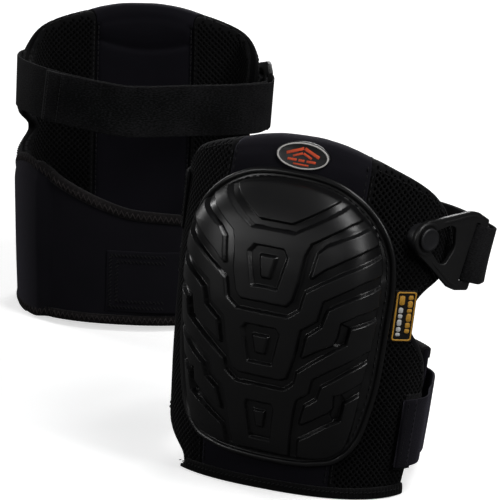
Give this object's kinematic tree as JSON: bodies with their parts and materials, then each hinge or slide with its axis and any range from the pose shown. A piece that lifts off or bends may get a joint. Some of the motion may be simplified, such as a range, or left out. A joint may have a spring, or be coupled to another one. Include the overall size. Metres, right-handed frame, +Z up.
{
  "type": "knee pads",
  "caption": "Pair of hard-shell knee pads with gel and foam padding, mesh side wings, a keyhole-buckle upper strap and a wrap-round calf band.",
  "frame": {"origin": "on the floor under the centre of the pair's bounding box", "axes": "+Z up, -Y the way the left pad's hard cap faces, +X to the right seen from the front"},
  "size_m": [0.3444, 0.5376, 0.2277],
  "materials": {
    "hard_shell": "semi-gloss moulded black",
    "dense_foam": "closed-cell foam",
    "soft_foam": "open-cell foam",
    "gel": "soft gel",
    "pad_fabric": "woven nylon, faint violet black",
    "lining": "smooth nylon",
    "spacer_mesh": "open spacer mesh",
    "binding_tape": "ribbed tape",
    "badge_face": "moulded oval with a pale ring",
    "woven_label": "woven label with gold border",
    "webbing": "heathered elastic webbing",
    "buckle_plastic": "fine-grain nylon",
    "loop_pile": "loop pile",
    "hook_tape": "hook tape",
    "neoprene": "jersey-faced neoprene",
    "calf_tape": "overlocked binding tape"
  },
  "bodies": {
    "left_pad": {"left_cap": "hard_shell", "left_foam_core": "dense_foam", "left_front_panel": "pad_fabric", "left_liner_panel": "lining", "left_comfort_foam": "soft_foam", "left_gel_insert": "gel", "left_top_roll": "pad_fabric", "left_lateral_wing_mesh": "spacer_mesh", "left_medial_wing_mesh": "spacer_mesh", "left_lateral_wing_lining": "lining", "left_medial_wing_lining": "lining", "left_bottom_binding": "binding_tape", "left_badge": "badge_face", "left_side_label": "woven_label", "left_strap_anchor": "webbing", "left_upper_strap": "webbing", "left_stud": "buckle_plastic", "left_stud_base": "buckle_plastic", "left_loop_patch": "loop_pile", "left_gusset": "neoprene"},
    "left_buckle": {"left_buckle": "buckle_plastic", "left_strap_loop": "webbing"},
    "left_strap_tail": {"left_strap_tail": "webbing", "left_strap_hook_tab": "hook_tape"},
    "left_calf_band": {"left_calf_band": "neoprene", "left_calf_band_top_tape": "calf_tape", "left_calf_band_bottom_tape": "calf_tape", "left_closure_strap": "neoprene", "left_closure_hook_tab": "hook_tape"},
    "right_pad": {"right_cap": "hard_shell", "right_foam_core": "dense_foam", "right_front_panel": "pad_fabric", "right_liner_panel": "lining", "right_comfort_foam": "soft_foam", "right_gel_insert": "gel", "right_top_roll": "pad_fabric", "right_lateral_wing_mesh": "spacer_mesh", "right_medial_wing_mesh": "spacer_mesh", "right_lateral_wing_lining": "lining", "right_medial_wing_lining": "lining", "right_bottom_binding": "binding_tape", "right_badge": "badge_face", "right_side_label": "woven_label", "right_strap_anchor": "webbing", "right_upper_strap": "webbing", "right_stud": "buckle_plastic", "right_stud_base": "buckle_plastic", "right_loop_patch": "loop_pile", "right_gusset": "neoprene"},
    "right_buckle": {"right_buckle": "buckle_plastic", "right_strap_loop": "webbing"},
    "right_strap_tail": {"right_strap_tail": "webbing", "right_strap_hook_tab": "hook_tape"},
    "right_calf_band": {"right_calf_band": "neoprene", "right_calf_band_top_tape": "calf_tape", "right_calf_band_bottom_tape": "calf_tape", "right_closure_strap": "neoprene", "right_closure_hook_tab": "hook_tape"}
  },
  "joints": [
    {"name": "left_buckle_unhook", "type": "slide", "parent": "left_pad", "child": "left_buckle", "axis": [-0.7286, -0.5812, 0.3624], "range_m": [0, 0.012], "deforming": ["left_upper_strap"]},
    {"name": "left_tail_peel", "type": "hinge", "parent": "left_buckle", "child": "left_strap_tail", "pos_m": [0.15762, -0.21349, 0.15573], "axis": [-0.2722, -0.2398, -0.9319], "range_deg": [0, 60]},
    {"name": "left_calf_band_open", "type": "hinge", "parent": "left_pad", "child": "left_calf_band", "pos_m": [0.0112, -0.10246, 0.04156], "axis": [0.0744, 0.0812, 0.9939], "range_deg": [0, 80], "deforming": ["left_gusset"]},
    {"name": "right_buckle_unhook", "type": "slide", "parent": "right_pad", "child": "right_buckle", "axis": [-0.1329, 0.9784, 0.1586], "range_m": [0, 0.012], "deforming": ["right_upper_strap"]},
    {"name": "right_tail_peel", "type": "hinge", "parent": "right_buckle", "child": "right_strap_tail", "pos_m": [0.02246, 0.16003, 0.1626], "axis": [0.0432, -0.1542, 0.9871], "range_deg": [0, 60]},
    {"name": "right_calf_band_open", "type": "hinge", "parent": "right_pad", "child": "right_calf_band", "pos_m": [-0.14943, 0.11801, 0.04274], "axis": [-0.0073, -0.1043, -0.9945], "range_deg": [0, 80], "deforming": ["right_gusset"]},
    {"name": "right_pad_lift", "type": "slide", "parent": "left_pad", "child": "right_pad", "axis": [0, 0, 1], "range_m": [0, 0.3]}
  ]
}
